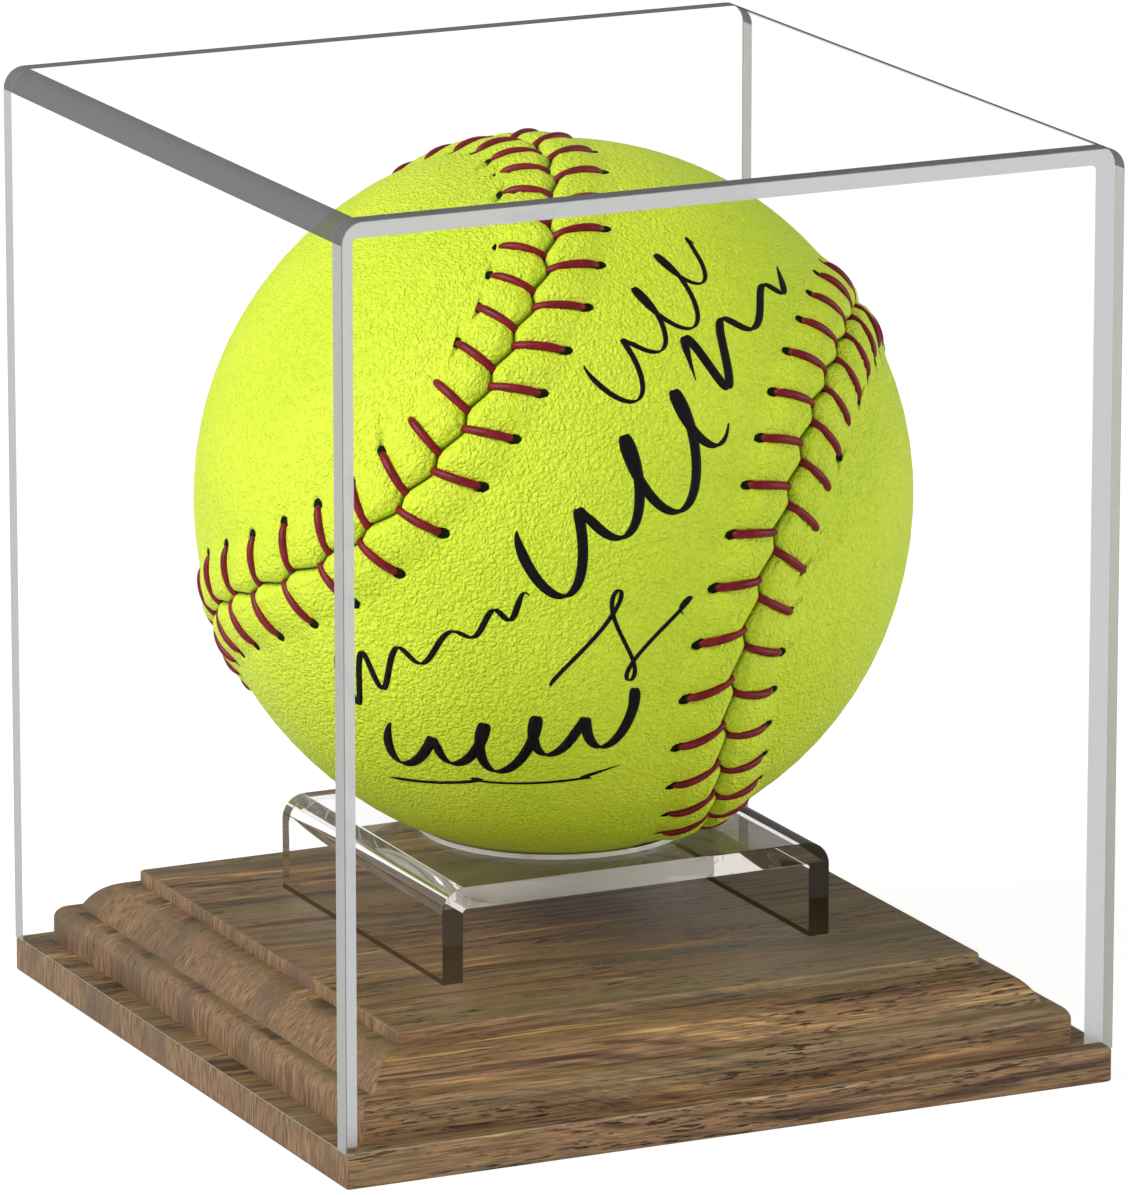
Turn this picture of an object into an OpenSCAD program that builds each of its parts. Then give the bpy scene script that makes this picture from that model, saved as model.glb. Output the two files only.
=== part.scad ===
// Softball display case: a walnut base, a clear acrylic riser with a round seat,
// a 12 inch softball and a lift-off five-sided acrylic cover.
// Millimetres, +Z up, origin at the centre of the underside.

/* [Base] */
// Thickness of the flange that the cover stands on
flange_t = 4.8; // [3:0.1:8]
// Height of the lower moulding step above the flange
step_h = 5.2; // [4:0.1:8]
// Radius that rounds the lower moulding step
step_round = 1.9; // [0.5:0.1:3]
// Width of the flat ledge between the rounded step and the ovolo
ledge_w = 1.0; // [0.6:0.1:2]
// Radius of the ovolo, the quarter round above the ledge
ovolo_r = 6.8; // [5:0.1:8]
// Height that the ovolo rises above the ledge
ovolo_h = 4.3; // [2.5:0.1:4.8]
// Height of the top step above the ovolo
top_step_h = 1.9; // [0.8:0.1:4]

/* [Felt] */
// Thickness of the felt sheet, and depth of its recess
felt_t = 1.0; // [0.6:0.1:2]
// Distance from the base's edge to the felt recess
felt_inset = 6.0; // [4:0.5:12]
// Gap between the felt and the wall of its recess
felt_gap = 0.2; // [0.1:0.05:0.5]

/* [Cover] */
// Thickness of the bent sheet that makes the sides and top
cover_t = 2.8; // [2:0.1:4]
// Thickness of the flat front and back panels
panel_t = 2.8; // [2:0.1:4]
// Gap between the ball and the cover's left and right sides
side_gap = 4.9; // [2:0.1:40]
// Gap between the ball and the front and back panels
front_gap = 4.9; // [2:0.1:40]
// Gap between the ball and the cover's ceiling
head_gap = 2.3; // [1:0.1:40]
// Outer radius of the cover's bends
cover_bend_r = 3.0; // [1:0.1:6]
// Gap between the cover's inner faces and the moulding
cover_gap = 1.2; // [0.5:0.1:2]

/* [Riser] */
// Width of the riser across its two legs
riser_w = 57.4; // [50:0.1:80]
// Depth of the riser along its bends
riser_d = 52.6; // [46:0.1:80]
// Height of the riser
riser_h = 13.1; // [10:0.1:25]
// Thickness of the riser's bent sheet
riser_t = 3.0; // [2:0.1:4]
// Outer radius of the riser's bends
riser_bend_r = 3.3; // [1:0.1:5]
// Radius of the round hole that the ball sits in
seat_r = 18.5; // [16:0.1:22]

/* [Ball] */
// Radius of the ball
ball_r = 48.5; // [40:0.1:60]
// Clearance between the ball and the rim of its seat
seat_gap = 0.1; // [0.05:0.01:0.3]
// Thickness of the leather
leather_t = 2.2; // [1.8:0.1:3]
// Distance that the floor of the stitch channel reaches past the needle holes
channel_margin = 2.4; // [2:0.1:4]
// Width of the slope from the channel's floor up to the ball's surface
channel_slope_w = 1.5; // [1:0.1:3]
// Gap between the leather and the core
core_gap = 0.3; // [0.25:0.05:0.6]
// Gap between the two leather panels along the seam
seam_gap = 0.3; // [0.2:0.05:0.6]
// Angle from a pole of the seam figure to the tip of a seam lobe
seam_tip_a = 24.5; // [20:0.1:28]
// Angle that the seam swings to each side
seam_swing_a = 24.4; // [20:0.1:26]
// Tilt of the ball about X, then Y, then Z
ball_tilt = [-144, -39.5, 44];

/* [Stitches] */
// Number of stitches round the ball
stitch_n = 77; // [60:1:100]
// Share of a pitch from the tip of a seam lobe to the first stitch
stitch_phase = 0.24; // [0:0.01:0.99]
// Share by which the pitch tightens at the tips of the seam's lobes
stitch_bunch = 0.12; // [0:0.01:0.3]
// Diameter of the thread
thread_d = 0.9; // [0.6:0.05:1.2]
// Clearance above and below the thread in its channel
thread_gap = 0.1; // [0.05:0.01:0.3]
// Distance from the seam to a needle hole
stitch_reach = 6.6; // [4:0.1:8]
// Distance that a needle hole lies ahead of its leg's start, along the seam
stitch_slant = 1.9; // [0:0.1:2.5]
// Distance that the two legs of a stitch are set apart along the seam
stitch_stagger = 2.3; // [0:0.1:3]
// Distance from the seam at which a stitch leg starts
stitch_start = 0.7; // [0.6:0.1:1.5]

/* [Hidden] */
$fn = 96;
// Small overlap that keeps cuts and unions clean
eps = 0.01;
case_w = 2 * (ball_r + side_gap + cover_t);
case_d = 2 * (ball_r + front_gap + panel_t);
step_z = flange_t + step_h;
ovolo_z = step_z + ovolo_h;
base_h = ovolo_z + top_step_h;
// Heights and widths of the moulding, measured in from the base's edge
foot_in = max(cover_t, panel_t) + cover_gap;
ledge_in = foot_in + step_round + ledge_w;
ovolo_cz = ovolo_z - ovolo_r;
ovolo_in = ledge_in + sqrt(pow(ovolo_r, 2) - pow(step_z - ovolo_cz, 2));
felt_w = case_w - 2 * felt_inset;
felt_d = case_d - 2 * felt_inset;
cover_z = flange_t;
riser_z = base_h;
riser_top_z = riser_z + riser_h;
seat_dist = ball_r + seat_gap;
ball_z = riser_top_z + sqrt(pow(seat_dist, 2) - pow(seat_r, 2));
cover_h = ball_z + ball_r + head_gap + cover_t - cover_z;
core_r = ball_r - leather_t - core_gap;
// Distance from the ball's middle to the ends of each leg of thread
thread_path_r = ball_r - thread_d / 2 - thread_gap;
// The legs are straight, so they dip between their ends by this much
leg_sag = pow(stitch_reach, 2) / (8 * ball_r);
channel_depth = thread_d + 2 * thread_gap + leg_sag;
channel_half_w = stitch_reach + channel_margin;
// Net of a leather panel: rings along its spine and columns across it
ring_n = 60;
field_n = 5;
half_n = field_n + 3;
col_n = 2 * half_n + 1;
layer = (ring_n + 1) * col_n;
// Angle along the seam figure from a lobe's tip to the net's first ring
seam_end_a = 3;
// Angles across the panel of the channel, its slope and half the gap at the seam
channel_a = channel_half_w / ball_r * 180 / PI;
slope_w_a = channel_slope_w / ball_r * 180 / PI;
edge_gap_a = seam_gap / ball_r * 90 / PI;
min_span_a = 0.3;
// Steps in which the seam's length is measured
seam_steps = 720;

// ---- Base ----

// Section of the base across a side of length w, with the moulding at both ends
module moulding_section(w) {
    foot_half = w / 2 - foot_in;
    translate([-w / 2, 0])
        square([w, flange_t]);
    for (side = [-1, 1]) {
        translate([side * (w / 2 - foot_in - step_round), step_z - step_round])
            circle(r = step_round);
        translate([side * (w / 2 - ovolo_in), ovolo_cz])
            circle(r = ovolo_r);
    }
    translate([-foot_half, flange_t - eps])
        square([2 * foot_half, step_h - step_round + eps]);
    translate([-foot_half + step_round, flange_t - eps])
        square([2 * (foot_half - step_round), step_h + eps]);
    translate([-w / 2 + ovolo_in, flange_t - eps])
        square([w - 2 * ovolo_in, base_h - flange_t + eps]);
}

module side_extrusion(w, d) {
    rotate([90, 0, 0])
        linear_extrude(height = d, center = true)
            moulding_section(w);
}

module base_board() {
    color("#76543a")
        difference() {
            intersection() {
                side_extrusion(case_w, case_d);
                rotate([0, 0, 90])
                    side_extrusion(case_d, case_w);
            }
            translate([-felt_w / 2, -felt_d / 2, -eps])
                cube([felt_w, felt_d, felt_t + eps]);
        }
}

module base_felt() {
    color("#2e2a28")
        translate([-felt_w / 2 + felt_gap, -felt_d / 2 + felt_gap, 0])
            cube([felt_w - 2 * felt_gap, felt_d - 2 * felt_gap, felt_t]);
}

// ---- Bent acrylic sheets ----

// Outline of a box of width w and height h with its two top corners rounded
module arch_outline(w, h, r) {
    translate([-w / 2, 0])
        square([w, h - r]);
    translate([-w / 2 + r, 0])
        square([w - 2 * r, h]);
    for (side = [-1, 1])
        translate([side * (w / 2 - r), h - r])
            circle(r = r);
}

// A sheet bent into an upside-down U, open along Y, standing on z = 0
module bent_sheet(w, d, h, t, r) {
    rotate([90, 0, 0])
        linear_extrude(height = d, center = true)
            difference() {
                arch_outline(w, h, r);
                translate([-w / 2 + t, -eps])
                    square([w - 2 * t, h - t + eps]);
            }
}

module riser() {
    color("#dfe8ea", 0.5)
        translate([0, 0, riser_z])
            difference() {
                bent_sheet(riser_w, riser_d, riser_h, riser_t, riser_bend_r);
                translate([0, 0, riser_h - riser_t - 1])
                    cylinder(r = seat_r, h = riser_t + 2);
            }
}

module cover_shell() {
    color("#e6eef0", 0.3)
        translate([0, 0, cover_z])
            bent_sheet(case_w, case_d - 2 * panel_t, cover_h, cover_t, cover_bend_r);
}

// A flat panel glued over the cut edges of the bent sheet
module cover_end_panel() {
    translate([0, 0, cover_z])
        rotate([90, 0, 0])
            linear_extrude(height = panel_t)
                arch_outline(case_w, cover_h, cover_bend_r);
}

module cover_front_panel() {
    color("#e6eef0", 0.3)
        translate([0, panel_t - case_d / 2, 0])
            cover_end_panel();
}

module cover_back_panel() {
    color("#e6eef0", 0.3)
        translate([0, case_d / 2, 0])
            cover_end_panel();
}

// ---- Ball ----

function unit(v) = v / norm(v);

// Direction of the seam figure at angle t, which runs from 0 to 720 degrees
function seam_dir(t) =
    let (lat = (90 - seam_tip_a) * cos(t),
         lon = t / 2 + seam_swing_a * sin(2 * t))
    [cos(lat) * cos(lon), cos(lat) * sin(lon), sin(lat)];

module place_ball() {
    translate([0, 0, ball_z])
        rotate(ball_tilt)
            children();
}

module ball_core() {
    color("#cdbb92")
        translate([0, 0, ball_z])
            sphere(r = core_r);
}

// Points along the seam figure, to measure distances from it
seam_marks = [for (t = [0:3:717]) seam_dir(t)];

// Outer radius of the leather in direction v, lower in the channel along the seam
function leather_outer_r(v) =
    let (gap = ball_r * min([for (m = seam_marks) norm(v - m)]),
         rise = max(0, min(1, (gap - channel_half_w) / channel_slope_w)))
    ball_r - channel_depth * (1 - rise);

// Angles across a ring of the panel's net, from its spine to the seam at span_a
function half_columns(span_a) =
    let (edge = max(span_a - edge_gap_a, min_span_a),
         floor_a = max(edge - channel_a, edge * 0.6),
         slope_a = max(edge - channel_a - slope_w_a, edge * 0.5))
    concat([for (k = [0:field_n]) slope_a * k / field_n], [floor_a, (floor_a + edge) / 2, edge]);

// Direction of the net's corner on ring i and column k, where column half_n is the spine
function panel_dir(i, k) =
    let (t = -180 + seam_end_a + (360 - 2 * seam_end_a) * i / ring_n,
         p = seam_dir(t),
         a = half_columns(asin(p[0]))[abs(k - half_n)] * sign(half_n - k),
         spine = unit([0, p[1], p[2]]))
    [sin(a), cos(a) * spine[1], cos(a) * spine[2]];

function net_index(i, k, outer) = (outer ? 0 : layer) + i * col_n + k;

// One figure-of-eight leather panel, a curved shell with its middle over +Z
module leather_panel() {
    dirs = [for (i = [0:ring_n], k = [0:col_n - 1]) panel_dir(i, k)];
    points = concat([for (v = dirs) leather_outer_r(v) * v],
                    [for (v = dirs) (ball_r - leather_t) * v]);
    skins = [for (i = [0:ring_n - 1], k = [0:col_n - 2], outer = [true, false])
             let (a = net_index(i, k, outer),
                  b = net_index(i, k + 1, outer),
                  c = net_index(i + 1, k + 1, outer),
                  d = net_index(i + 1, k, outer))
             for (f = [[a, b, c], [a, c, d]])
             outer ? f : [f[2], f[1], f[0]]];
    sides = [for (i = [0:ring_n - 1], k = [0, col_n - 1])
             let (a = net_index(i, k, true),
                  b = net_index(i + 1, k, true),
                  c = net_index(i + 1, k, false),
                  d = net_index(i, k, false))
             for (f = [[a, b, c], [a, c, d]])
             k == 0 ? f : [f[2], f[1], f[0]]];
    ends = [for (k = [0:col_n - 2], i = [0, ring_n])
            let (a = net_index(i, k, true),
                 b = net_index(i, k + 1, true),
                 c = net_index(i, k + 1, false),
                 d = net_index(i, k, false))
            for (f = [[a, d, c], [a, c, b]])
            i == 0 ? f : [f[2], f[1], f[0]]];
    polyhedron(points = points, faces = concat(skins, sides, ends));
}

module ball_cover_a() {
    color("#d6f03c")
        place_ball()
            leather_panel();
}

module ball_cover_b() {
    color("#d2ec38")
        place_ball()
            rotate(180, [1, 1, 0])
                leather_panel();
}

// Length along the seam up to each step, paired with the seam angle there
seam_step_a = 720 / seam_steps;
seam_run = [for (i = 0, s = 0; i <= seam_steps;
                 s = s + norm(seam_dir((i + 1) * seam_step_a) - seam_dir(i * seam_step_a)),
                 i = i + 1)
            [s, i * seam_step_a]];
seam_len = seam_run[seam_steps][0];

// Length along the seam at which stitch k lies, crowded at the tips of the lobes
function stitch_run(k) =
    let (lobe_len = seam_len / 4,
         run = (k + stitch_phase) * seam_len / stitch_n)
    run - stitch_bunch * lobe_len / (2 * PI) * sin(360 * run / lobe_len);

// A straight piece of thread between two points
module thread(p, q) {
    v = q - p;
    translate(p)
        rotate([0, acos(v[2] / norm(v)), atan2(v[1], v[0])])
            cylinder(d = thread_d, h = norm(v), $fn = 24);
}

// The two legs of one stitch at seam angle t, from the seam out to the needle holes
module stitch(t) {
    out = seam_dir(t);
    along = unit(seam_dir(t + 0.5) - seam_dir(t - 0.5)) / ball_r;
    across = cross(out, along);
    for (side = [-1, 1]) {
        shift = side * stitch_stagger / 2;
        near = out + side * stitch_start * across + shift * along;
        far = out + side * stitch_reach * across + (shift + stitch_slant) * along;
        thread(unit(near) * thread_path_r, unit(far) * thread_path_r);
    }
}

module ball_stitching() {
    color("#a51e30")
        place_ball()
            for (k = [0:stitch_n - 1])
                stitch(lookup(stitch_run(k), seam_run));
}

base_board();
base_felt();
riser();
cover_shell();
cover_front_panel();
cover_back_panel();
ball_core();
ball_cover_a();
ball_cover_b();
ball_stitching();
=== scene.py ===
"""Looks of the softball display case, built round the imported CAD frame. Metres, +Z up."""

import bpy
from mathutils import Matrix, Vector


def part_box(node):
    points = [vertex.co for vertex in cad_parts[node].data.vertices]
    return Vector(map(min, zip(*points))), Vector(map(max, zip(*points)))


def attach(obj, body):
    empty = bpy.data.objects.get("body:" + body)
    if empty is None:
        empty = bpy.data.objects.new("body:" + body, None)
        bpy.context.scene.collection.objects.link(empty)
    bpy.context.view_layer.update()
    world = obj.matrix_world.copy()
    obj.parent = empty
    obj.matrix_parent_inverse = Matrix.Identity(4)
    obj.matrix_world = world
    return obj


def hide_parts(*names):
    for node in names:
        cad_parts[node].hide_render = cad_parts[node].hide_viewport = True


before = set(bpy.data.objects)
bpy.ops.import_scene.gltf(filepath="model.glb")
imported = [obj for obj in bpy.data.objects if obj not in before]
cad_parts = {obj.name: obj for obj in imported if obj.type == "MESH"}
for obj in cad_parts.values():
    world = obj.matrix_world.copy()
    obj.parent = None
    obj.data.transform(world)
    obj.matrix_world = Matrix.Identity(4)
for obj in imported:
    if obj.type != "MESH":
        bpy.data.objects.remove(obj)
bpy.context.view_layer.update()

import math

import bmesh
import bpy
import numpy as np
from mathutils import Vector

MM = 0.001
WHITE = (1.0, 1.0, 1.0, 1.0)

# ---- Sizes, from the frame and from the part's own named values ----

BOARD_LO, BOARD_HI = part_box("base_board")
CASE_W = BOARD_HI.x - BOARD_LO.x
CASE_D = BOARD_HI.y - BOARD_LO.y
BASE_H = BOARD_HI.z
FELT_LO, FELT_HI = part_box("base_felt")
FELT_T = FELT_HI.z
SHELL_LO, SHELL_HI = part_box("cover_shell")
FLANGE_T = SHELL_LO.z
RISER_LO, RISER_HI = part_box("riser")
CORE_LO, CORE_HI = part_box("ball_core")
BALL_CENTRE = (CORE_LO + CORE_HI) / 2

STEP_H = 5.2 * MM
STEP_ROUND = 1.9 * MM
LEDGE_W = 1.0 * MM
OVOLO_R = 6.8 * MM
OVOLO_H = 4.3 * MM
FELT_INSET = 6.0 * MM
COVER_T = 2.8 * MM
COVER_GAP = 1.2 * MM
COVER_BEND_R = 3.0 * MM
COVER_INNER_R = 0.7 * MM
RISER_T = 3.0 * MM
RISER_BEND_R = 3.3 * MM
RISER_INNER_R = 0.6 * MM
SEAT_R = 18.5 * MM
LEATHER_T = 2.2 * MM
CORE_GAP = 0.3 * MM
BALL_R = (CORE_HI.z - CORE_LO.z) / 2 + CORE_GAP + LEATHER_T

# Air left between two clear sheets, or between a sheet and the wood
CONTACT_GAP = 0.02 * MM
# Width of the thin flat along a sheet's sharp edges
ARRIS_W = 0.1 * MM
# Height over a sheet's foot within which a face or an edge belongs to the foot
FOOT_BAND = 0.01 * MM
SHARP = math.radians(40)


# ---- Meshes ----


def arc(cx, cz, r, start, end, steps):
    """Points of an arc in a plane, with its angles in degrees."""
    angles = np.radians(np.linspace(start, end, steps + 1))
    return [(cx + r * math.cos(a), cz + r * math.sin(a)) for a in angles]


def net_faces(rows, cols, first=0, wrap=False):
    """The quads of a net of points stored row by row. With wrap, its sides are joined."""
    i = np.arange(rows - 1)[:, None]
    k = np.arange(cols if wrap else cols - 1)[None, :]
    after = (k + 1) % cols
    corners = (i * cols + k, i * cols + after, (i + 1) * cols + after, (i + 1) * cols + k)
    return (np.stack(corners, -1).reshape(-1, 4) + first).tolist()


def volume(points, faces):
    """Signed volume of a closed mesh, from fans of triangles."""
    by_size = {}
    for face in faces:
        by_size.setdefault(len(face), []).append(face)
    total = 0.0
    for size, group in by_size.items():
        corners = points[np.array(group)]
        for k in range(1, size - 1):
            cross = np.cross(corners[:, k], corners[:, k + 1])
            total += (corners[:, 0] * cross).sum()
    return total


def solid(name, points, faces, material):
    """A closed, smooth-shaded mesh object whose faces look outwards."""
    points = np.asarray(points, float)
    if volume(points, faces) < 0:
        faces = [face[::-1] for face in faces]
    mesh = bpy.data.meshes.new(name)
    mesh.from_pydata(points.tolist(), [], faces)
    mesh.materials.append(material)
    mesh.shade_smooth()
    piece = bpy.data.objects.new(name, mesh)
    bpy.context.scene.collection.objects.link(piece)
    return piece


def place(piece, body, slot, *nodes):
    """Puts a finished piece on its body, in place of its CAD nodes."""
    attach(piece, body)
    if nodes:
        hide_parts(*nodes)
    return piece


def added(mesh, material):
    """The number of a new material slot of the mesh."""
    mesh.materials.append(material)
    return len(mesh.materials) - 1


def paint(mesh, material, chosen):
    """Gives the chosen faces another material."""
    number = added(mesh, material)
    for face in mesh.polygons:
        if chosen(face):
            face.material_index = number


def crisp(piece):
    """Smooth bends and flat faces, with sharp edges between them."""
    piece.data.set_sharp_from_angle(angle=SHARP)
    normals = piece.modifiers.new("normals", "WEIGHTED_NORMAL")
    normals.keep_sharp = True
    return piece


def bevelled(piece, width, material=None, chosen=lambda middle: True):
    """Rounds a piece's chosen sharp edges a little, but none round its foot.

    The round is in the given material, or else in that of the faces beside it.
    """
    edges = bmesh.new()
    edges.from_mesh(piece.data)
    foot = min(vertex.co.z for vertex in edges.verts)
    weight = edges.edges.layers.float.new("bevel_weight_edge")
    for edge in edges.edges:
        above = max(vertex.co.z for vertex in edge.verts) > foot + FOOT_BAND
        sharp = edge.calc_face_angle(0.0) > SHARP
        if above and sharp and chosen((edge.verts[0].co + edge.verts[1].co) / 2):
            edge[weight] = 1.0
    edges.to_mesh(piece.data)
    edges.free()
    bevel = piece.modifiers.new("edges", "BEVEL")
    bevel.width = width
    bevel.segments = 2
    bevel.limit_method = "WEIGHT"
    bevel.material = added(piece.data, material) if material else -1
    return crisp(piece)


def compass(azimuth, elevation):
    """The direction at a compass angle from the front and a height angle, in degrees."""
    az, el = math.radians(azimuth), math.radians(elevation)
    return math.sin(az) * math.cos(el), -math.cos(az) * math.cos(el), math.sin(el)


def ease(x, start, end):
    """0 below start and 1 above end, with a smooth step between them."""
    u = np.clip((x - start) / (end - start), 0, 1)
    return u * u * (3 - 2 * u)


# ---- Materials ----


class Shader:
    """A material and short ways to add nodes to it."""

    def __init__(self, name):
        self.material = bpy.data.materials.new(name)
        self.material.use_nodes = True
        self.tree = self.material.node_tree
        self.tree.nodes.clear()
        self.output = self.tree.nodes.new("ShaderNodeOutputMaterial")
        self.coords = self.tree.nodes.new("ShaderNodeTexCoord").outputs["Object"]

    def add(self, kind, inputs=(), **settings):
        """A new node. An input is a number, a colour or another node's output."""
        node = self.tree.nodes.new("ShaderNode" + kind)
        for name, value in settings.items():
            setattr(node, name, value)
        for name, value in dict(inputs).items():
            if isinstance(value, bpy.types.NodeSocket):
                self.tree.links.new(value, node.inputs[name])
            else:
                node.inputs[name].default_value = value
        return node

    def math(self, operation, a, b=0.0):
        return self.add("Math", {0: a, 1: b}, operation=operation).outputs[0]

    def scaled(self, x, y, z):
        """Coordinates in steps of 1/x, 1/y and 1/z millimetres."""
        inputs = {"Vector": self.coords, "Scale": (x / MM, y / MM, z / MM)}
        return self.add("Mapping", inputs, vector_type="POINT").outputs[0]

    def noise(self, vector, detail=2.0, roughness=0.5, distortion=0.0):
        inputs = {"Vector": vector, "Scale": 1.0, "Detail": detail,
                  "Roughness": roughness, "Distortion": distortion}
        return self.add("TexNoise", inputs).outputs[0]

    def range(self, value, low, high, to_low=0.0, to_high=1.0):
        """Maps low to high onto to_low to to_high, with a smooth step."""
        inputs = {"Value": value, "From Min": low, "From Max": high,
                  "To Min": to_low, "To Max": to_high}
        return self.add("MapRange", inputs, interpolation_type="SMOOTHSTEP").outputs[0]

    def mix(self, share, a, b, blend="MIX"):
        node = self.add("Mix", data_type="RGBA", blend_type=blend)
        for socket, value in ((0, share), (6, a), (7, b)):
            if isinstance(value, bpy.types.NodeSocket):
                self.tree.links.new(value, node.inputs[socket])
            else:
                node.inputs[socket].default_value = value
        return node.outputs[2]

    def ramp(self, value, *stops):
        """A colour ramp through (place, colour) stops."""
        node = self.add("ValToRGB", {"Fac": value})
        elements = node.color_ramp.elements
        while len(elements) < len(stops):
            elements.new(0.5)
        for element, (place_at, colour) in zip(elements, stops):
            element.position = place_at
            element.color = colour
        return node.outputs[0]

    def toned(self, colour, tone):
        """A colour times a grey tone."""
        grey = self.add("CombineColor", {0: tone, 1: tone, 2: tone}).outputs[0]
        return self.mix(1.0, colour, grey, "MULTIPLY")

    def bump(self, height, distance, strength=1.0):
        inputs = {"Height": height, "Distance": distance, "Strength": strength}
        return self.add("Bump", inputs).outputs[0]

    def satin(self, colour):
        """A matt shader with faint scratches."""
        scratches = self.noise(self.scaled(1.4, 1.4, 1.4), 3.0)
        dull = tuple(0.93 * c for c in colour[:3]) + (1.0,)
        return self.add("BsdfDiffuse", {"Color": self.mix(scratches, dull, colour)}).outputs[0]

    def gathering(self):
        """1 for the rays that gather light from lamps and from the surround, and 0 for others."""
        path = self.add("LightPath")
        return self.math("MAXIMUM", path.outputs["Is Shadow Ray"], path.outputs["Is Diffuse Ray"])

    def surface(self, shader, volume=None):
        self.tree.links.new(shader, self.output.inputs["Surface"])
        if volume is not None:
            self.tree.links.new(volume, self.output.inputs["Volume"])
        return self.material


def rgb(red, green, blue):
    """A colour given as 0 to 255 on a screen, as the linear colour that nodes take."""
    return tuple(((c / 255 + 0.055) / 1.055) ** 2.4 for c in (red, green, blue)) + (1.0,)


def walnut_rings(s):
    """The tone of the growth rings, which run along X and drift a little."""
    drift = s.noise(s.scaled(0.012, 0.03, 0.03), 1.0)
    split = s.add("SeparateXYZ", {"Vector": s.scaled(1, 1, 1)})
    across = s.math("ADD", split.outputs[1], s.math("MULTIPLY", split.outputs[2], 0.55))
    ring = s.math("ADD", across, s.math("MULTIPLY", drift, 26.0))
    ring = s.math("ADD", ring, s.math("MULTIPLY", split.outputs[0], 0.03))
    broad = s.add("TexNoise", {"W": ring, "Scale": 0.13, "Detail": 2.0, "Roughness": 0.6},
                  noise_dimensions="1D").outputs[0]
    narrow = s.add("TexNoise", {"W": ring, "Scale": 0.75, "Detail": 3.0, "Roughness": 0.65},
                   noise_dimensions="1D").outputs[0]
    streak = s.noise(s.scaled(0.035, 1.2, 1.2), 4.0, 0.62)
    tone = s.math("ADD", s.math("MULTIPLY", broad, 0.42), s.math("MULTIPLY", narrow, 0.2))
    return s.math("ADD", tone, s.math("MULTIPLY", streak, 0.38))


def walnut_end_colour(s):
    """The colour where the board is cut across its grain."""
    lines = s.range(s.noise(s.scaled(1.1, 4.2, 0.3), 3.0, 0.7), 0.37, 0.63)
    colour = s.mix(lines, rgb(90, 68, 48), rgb(156, 125, 93))
    patches = s.range(s.noise(s.scaled(0.03, 0.13, 0.05), 2.0), 0.45, 0.65, 0.0, 0.6)
    return s.mix(patches, colour, rgb(90, 77, 64))


def walnut_pores(s, end_grain):
    """1 in the open pores along the grain, which lie in drifts, and 0 in the end grain."""
    pore = s.noise(s.scaled(0.32, 2.8, 3.0), 2.0, 0.55)
    drifts = s.range(s.noise(s.scaled(0.03, 0.12, 0.12), 1.0), 0.4, 0.6, 0.15, 1.0)
    pores = s.math("MULTIPLY", s.range(pore, 0.56, 0.62), drifts)
    return s.math("MULTIPLY", pores, s.math("SUBTRACT", 1.0, end_grain))


def walnut_material():
    """Oiled walnut with its grain along X, cut so that the rings stand nearly upright."""
    s = Shader("walnut")
    fibre = s.noise(s.scaled(0.11, 4.2, 4.2), 3.0, 0.65)
    colour = s.ramp(walnut_rings(s),
                    (0.38, rgb(54, 40, 30)), (0.455, rgb(92, 70, 52)),
                    (0.50, rgb(128, 99, 68)), (0.545, rgb(106, 83, 62)),
                    (0.62, rgb(172, 136, 86)))
    olive = s.range(s.noise(s.scaled(0.006, 0.09, 0.06), 1.0), 0.45, 0.62, 0.0, 0.5)
    colour = s.mix(olive, colour, rgb(112, 101, 74))
    colour = s.toned(colour, s.range(fibre, 0.34, 0.66, 0.72, 1.34))
    normal = s.add("SeparateXYZ", {"Vector": s.add("NewGeometry").outputs["True Normal"]})
    end_grain = s.range(s.math("ABSOLUTE", normal.outputs[0]), 0.1, 0.5)
    # Painted light: faces that look to the front or the back are made up to 1.6 times brighter.
    front = s.range(s.math("ABSOLUTE", normal.outputs[1]), 0.3, 0.95, 1.0, 1.6)
    colour = s.toned(colour, front)
    colour = s.mix(s.math("MULTIPLY", end_grain, 0.9), colour, walnut_end_colour(s))
    pores = walnut_pores(s, end_grain)
    colour = s.mix(s.math("MULTIPLY", pores, 0.85), colour, rgb(36, 25, 17))
    height = s.math("SUBTRACT", s.math("MULTIPLY", fibre, 0.5), pores)
    shader = s.add("BsdfPrincipled", {
        "Base Color": colour, "Roughness": s.range(fibre, 0.3, 0.7, 0.42, 0.56),
        "Normal": s.bump(height, 0.05 * MM, 0.8), "Specular IOR Level": 0.22})
    return s.surface(shader.outputs[0])


def felt_material():
    """Black felt with a short matted pile."""
    s = Shader("felt")
    pile = s.noise(s.scaled(3.0, 3.0, 3.0), 4.0, 0.8, 0.6)
    clumps = s.noise(s.scaled(0.4, 0.4, 0.4), 2.0)
    colour = s.mix(s.math("MULTIPLY", pile, clumps), rgb(16, 16, 17), rgb(74, 72, 70))
    shader = s.add("BsdfPrincipled", {
        "Base Color": colour, "Roughness": 0.95, "Sheen Weight": 0.4,
        "Specular IOR Level": 0.2, "Normal": s.bump(pile, 0.25 * MM)})
    return s.surface(shader.outputs[0])


ACRYLIC_IOR = 1.49


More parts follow.
